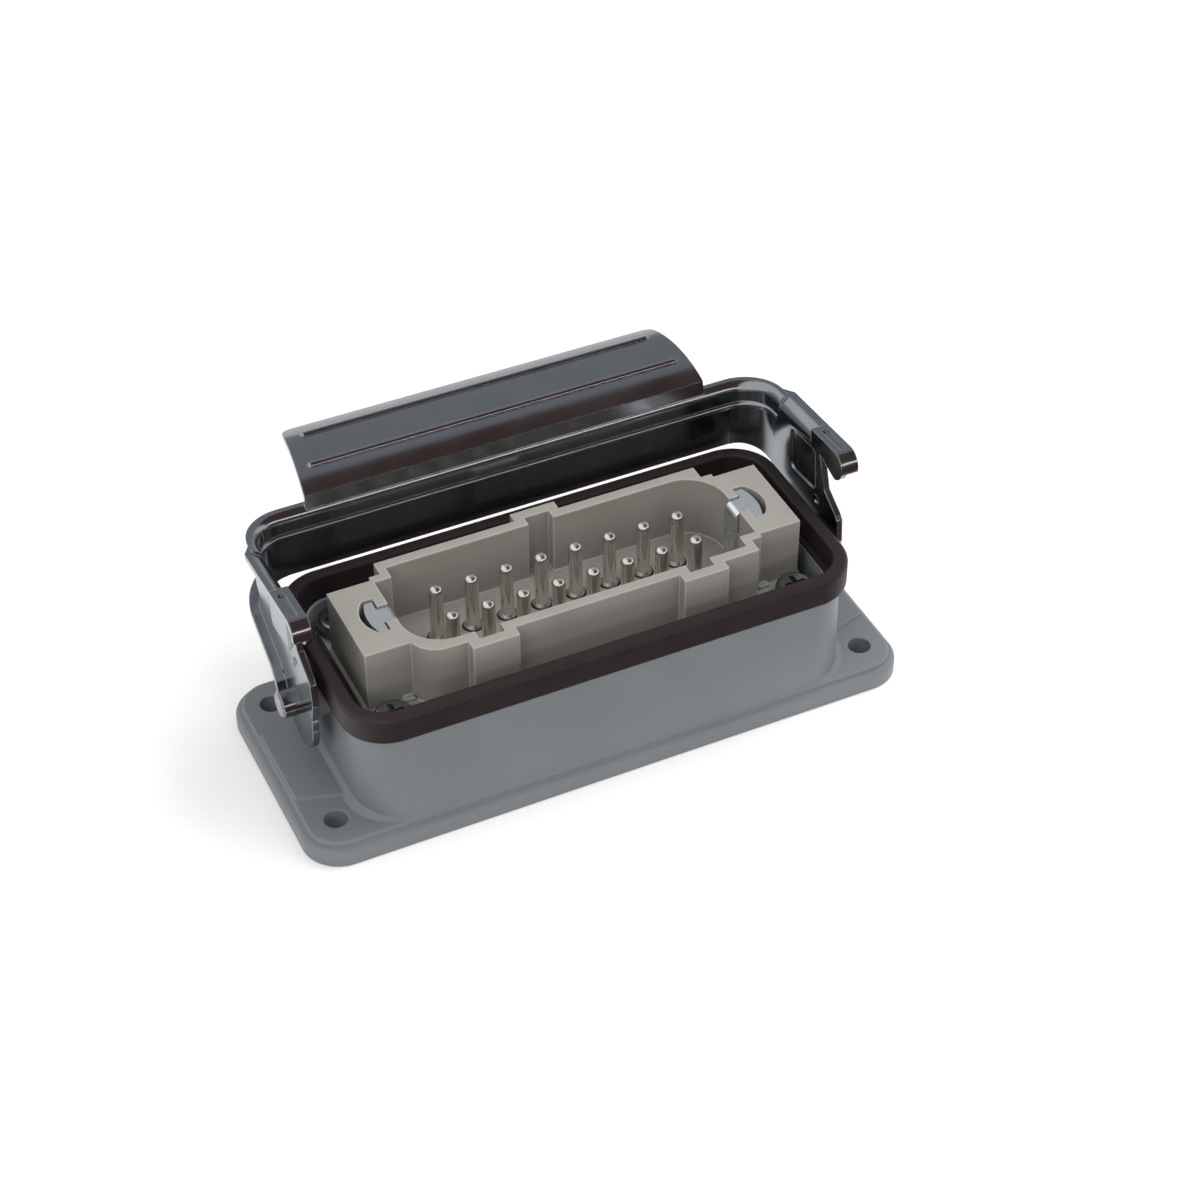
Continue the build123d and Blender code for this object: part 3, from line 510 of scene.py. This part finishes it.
def seen_by_eye(tree):
    """One for rays from the camera, from mirrors and through glass, and nought for all others."""
    path = add_node(tree, "ShaderNodeLightPath")
    mirrored = add_node(
        tree,
        "ShaderNodeMath",
        {"operation": "MAXIMUM"},
        _0=path.outputs["Is Glossy Ray"],
        _1=path.outputs["Is Transmission Ray"],
    )
    seen = add_node(
        tree,
        "ShaderNodeMath",
        {"operation": "MAXIMUM"},
        _0=path.outputs["Is Camera Ray"],
        _1=mirrored.outputs["Value"],
    )
    return seen.outputs["Value"]


def light_the_world():
    """A sky that is pale overhead and warmer and dimmer low down lights the object.

    The camera and the metal see plain white instead.
    """
    world = bpy.data.worlds.new("studio_world")
    world.use_nodes = True
    bpy.context.scene.world = world
    tree = world.node_tree
    tree.nodes.clear()
    output = tree.nodes.new("ShaderNodeOutputWorld")
    direction = add_node(tree, "ShaderNodeTexCoord")
    height = add_node(tree, "ShaderNodeSeparateXYZ", Vector=direction.outputs["Generated"])
    ramp = add_node(tree, "ShaderNodeValToRGB", Fac=height.outputs["Z"])
    horizon, zenith = ramp.color_ramp.elements
    horizon.position = 0.0
    horizon.color = srgb(HORIZON_TINT)
    zenith.position = ZENITH_HEIGHT
    zenith.color = srgb(ZENITH_TINT)
    sky = add_node(tree, "ShaderNodeBackground", Color=ramp.outputs["Color"], Strength=SKY_STRENGTH)
    white = add_node(tree, "ShaderNodeBackground", Color=(1, 1, 1, 1), Strength=1.0)
    mix = add_node(
        tree,
        "ShaderNodeMixShader",
        _0=seen_by_eye(tree),
        _1=sky.outputs["Background"],
        _2=white.outputs["Background"],
    )
    tree.links.new(mix.outputs["Shader"], output.inputs["Surface"])


def make_floor():
    """A pale floor that keeps the object's shadow.

    For the camera, for mirrors and through glass it is lifted to white where nothing stands.
    """
    half = FLOOR_WIDTH / 2
    level = cad_box[0][2] - FLOOR_GAP
    mesh = bpy.data.meshes.new("floor")
    corners = [(-half, -half, level), (half, -half, level), (half, half, level), (-half, half, level)]
    mesh.from_pydata(corners, [], [(0, 1, 2, 3)])
    floor = bpy.data.objects.new("floor", mesh)
    bpy.context.collection.objects.link(floor)
    material, tree, output = new_material("pale_floor")
    paper = add_node(tree, "ShaderNodeBsdfDiffuse", Color=srgb(FLOOR_WHITE))
    lift = add_node(
        tree, "ShaderNodeMath", {"operation": "MULTIPLY"}, _0=seen_by_eye(tree), _1=FLOOR_LIFT
    )
    glow = add_node(tree, "ShaderNodeEmission", Color=(1, 1, 1, 1), Strength=lift.outputs["Value"])
    both = add_node(
        tree, "ShaderNodeAddShader", _0=paper.outputs["BSDF"], _1=glow.outputs["Emission"]
    )
    tree.links.new(both.outputs["Shader"], output.inputs["Surface"])
    mesh.materials.append(material)


def make_card(name, colour, one_edge, other_edge):
    """A studio card for the glossy metal to mirror, stretched straight between two long edges.

    Both edges are rows of points with the same count. Only mirror rays meet the card, so it
    takes no light from the object.
    """
    points = np.stack([one_edge, other_edge], axis=1)
    points[..., 2] += cad_box[0][2] + CARD_GAP
    first = 2 * np.arange(len(one_edge) - 1)
    faces = np.stack([first, first + 2, first + 3, first + 1], axis=1)
    mesh = bpy.data.meshes.new(name)
    mesh.from_pydata(points.reshape(-1, 3).tolist(), [], faces.tolist())
    card = bpy.data.objects.new(name, mesh)
    bpy.context.collection.objects.link(card)
    material, tree, output = new_material(name)
    shader = add_node(tree, "ShaderNodeEmission", Color=srgb(colour), Strength=1.0)
    tree.links.new(shader.outputs["Emission"], output.inputs["Surface"])
    mesh.materials.append(material)
    card.visible_camera = False
    card.visible_diffuse = False
    card.visible_shadow = False
    card.visible_transmission = False


def arc_edge(x, start, end):
    """Points on the cards' arc about the X axis, from one angle above the front to another."""
    turn = np.radians(np.linspace(start, end, ARC_POINTS))
    across = np.full_like(turn, x)
    return np.stack([across, -CARD_RADIUS * np.cos(turn), CARD_RADIUS * np.sin(turn)], axis=1)


def make_cards():
    """A brown card on the floor and up in front, and a pale grey one that goes on overhead."""
    front = []
    for x in (CARD_LEFT, CARD_RIGHT):
        near = np.array([[x, -CARD_NEAR_EDGE, 0.0]])
        front.append(np.concatenate([near, arc_edge(x, 0.0, BROWN_CARD_TOP)]))
    make_card("front_card", CARD_BROWN, *front)
    overhead = [arc_edge(x, BROWN_CARD_TOP, GREY_CARD_TOP) for x in (CARD_LEFT, CARD_RIGHT)]
    make_card("overhead_card", CARD_GREY, *overhead)


# Lamps: places and sizes in millimetres, power in watts

LAMP_TARGET = (0, 0, 20)


def add_softbox(name, place_mm, size_mm, power, mirrored):
    """A rectangular studio lamp at one place, turned to look at the middle of the object.

    A lamp that isn't mirrored stands behind a large diffuser, and the metal sees only white there.
    """
    data = bpy.data.lights.new(name, "AREA")
    data.shape = "RECTANGLE"
    data.size = size_mm[0] * MM
    data.size_y = size_mm[1] * MM
    data.energy = power
    lamp = bpy.data.objects.new(name, data)
    bpy.context.collection.objects.link(lamp)
    place = [c * MM for c in place_mm]
    lamp.location = place
    aim = [t * MM - p for t, p in zip(LAMP_TARGET, place)]
    lamp.rotation_euler = Vector(aim).to_track_quat("-Z", "Y").to_euler()
    lamp.visible_glossy = mirrored


def build_studio():
    """Floor, cards, sky, two soft lamps and a strip lamp."""
    make_floor()
    make_cards()
    light_the_world()
    add_softbox("key_lamp", place_mm=(600, 100, 900), size_mm=(700, 600), power=6.0, mirrored=False)
    add_softbox("fill_lamp", place_mm=(-700, -400, 700), size_mm=(600, 500), power=3.0, mirrored=False)
    # its mirror image is the thin bright line along every bend of the lever
    add_softbox("strip_lamp", place_mm=(420, -1000, 420), size_mm=(1500, 110), power=2.0, mirrored=True)


make_camera()
finish_all_parts()
build_studio()

bpy.context.scene.view_settings.view_transform = "Standard"
